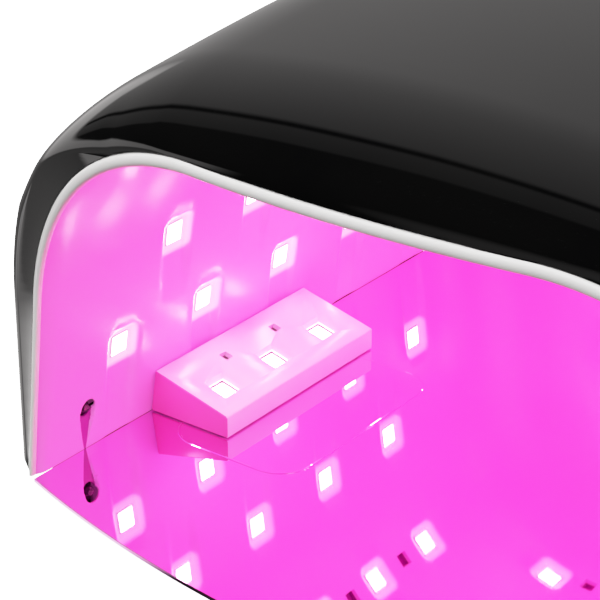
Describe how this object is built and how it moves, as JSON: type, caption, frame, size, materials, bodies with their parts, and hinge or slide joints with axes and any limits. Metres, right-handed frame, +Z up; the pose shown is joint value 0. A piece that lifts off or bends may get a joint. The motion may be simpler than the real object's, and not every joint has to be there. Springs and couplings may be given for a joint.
{
  "type": "uv led nail lamp",
  "caption": "Tabletop nail-curing lamp: glossy arched hood over a lit reflector cavity with thumb light blocks, standing on a slide-out mirror plate, with a timer panel on top.",
  "frame": {"origin": "middle of the footprint's bounding box, on the surface that the lamp stands on", "axes": "+Z up; -Y out of the hand opening, towards the user; +X to the right of someone facing the opening"},
  "size_m": [0.202, 0.225, 0.1139],
  "materials": {
    "gloss_black": "deep gloss",
    "off_white_trim": "semi-gloss",
    "pink_reflector": "mirror-bright plastic, lit pink",
    "mirror_floor": "polished",
    "black_plastic": "fine matt texture",
    "black_rubber": "matt",
    "button_grey": "satin",
    "smoked_window": "smoked, clear gloss",
    "white_board": "white solder mask",
    "green_board": "green solder mask",
    "dark_plastic": "moulded",
    "plain_steel": "bright",
    "nickel_magnet": "nickel plated",
    "brass_spacer": "turned",
    "red_wire": "soft sleeve"
  },
  "bodies": {
    "hood": {"outer_shell": "gloss_black", "control_panel": "gloss_black", "display_window": "smoked_window", "rim_trim": "off_white_trim", "reflector_liner": "pink_reflector", "left_thumb_block": "pink_reflector", "right_thumb_block": "pink_reflector", "base_frame": "black_plastic", "power_inlet": "black_plastic", "inlet_centre_pin": "plain_steel", "control_board": "green_board", "driver_transistors": "dark_plastic", "digit_display": "dark_plastic", "hand_sensor_emitter": "dark_plastic", "hand_sensor_receiver": "dark_plastic", "left_wiring": "red_wire", "right_wiring": "red_wire", "inlet_wiring": "red_wire", "plate_magnet_1": "nickel_magnet", "frame_screw_1": "plain_steel", "board_screw_1": "plain_steel", "board_spacer_1": "brass_spacer", "button_switch_1": "dark_plastic", "plate_magnet_2": "nickel_magnet", "frame_screw_2": "plain_steel", "board_screw_2": "plain_steel", "board_spacer_2": "brass_spacer", "button_switch_2": "dark_plastic", "plate_magnet_3": "nickel_magnet", "frame_screw_3": "plain_steel", "board_screw_3": "plain_steel", "board_spacer_3": "brass_spacer", "button_switch_3": "dark_plastic", "plate_magnet_4": "nickel_magnet", "frame_screw_4": "plain_steel", "board_screw_4": "plain_steel", "board_spacer_4": "brass_spacer", "button_switch_4": "dark_plastic", "left_wall_led_board": "white_board", "right_wall_led_board": "white_board", "left_shoulder_led_board": "white_board", "right_shoulder_led_board": "white_board", "ceiling_led_board": "white_board", "back_wall_led_board": "white_board", "left_block_led_board": "white_board", "right_block_led_board": "white_board"},
    "base_plate": {"mirror_base_plate": "mirror_floor", "base_foot_1": "black_rubber", "base_foot_2": "black_rubber", "base_foot_3": "black_rubber", "base_foot_4": "black_rubber"},
    "timer_button_1": {"timer_button_1": "button_grey"},
    "timer_button_2": {"timer_button_2": "button_grey"},
    "timer_button_3": {"timer_button_3": "button_grey"},
    "timer_button_4": {"timer_button_4": "button_grey"}
  },
  "joints": [
    {"name": "base_plate_slide", "type": "slide", "parent": "hood", "child": "base_plate", "axis": [0, -1, 0], "range_m": [0, 0.205]},
    {"name": "timer_button_1_press", "type": "slide", "parent": "hood", "child": "timer_button_1", "axis": [0, 0, -1], "range_m": [0, 0.0005], "stiffness_N_per_m": 1000, "springref_m": -0.0005},
    {"name": "timer_button_2_press", "type": "slide", "parent": "hood", "child": "timer_button_2", "axis": [0, 0, -1], "range_m": [0, 0.0005], "stiffness_N_per_m": 1000, "springref_m": -0.0005},
    {"name": "timer_button_3_press", "type": "slide", "parent": "hood", "child": "timer_button_3", "axis": [0, 0, -1], "range_m": [0, 0.0005], "stiffness_N_per_m": 1000, "springref_m": -0.0005},
    {"name": "timer_button_4_press", "type": "slide", "parent": "hood", "child": "timer_button_4", "axis": [0, 0, -1], "range_m": [0, 0.0005], "stiffness_N_per_m": 1000, "springref_m": -0.0005}
  ]
}
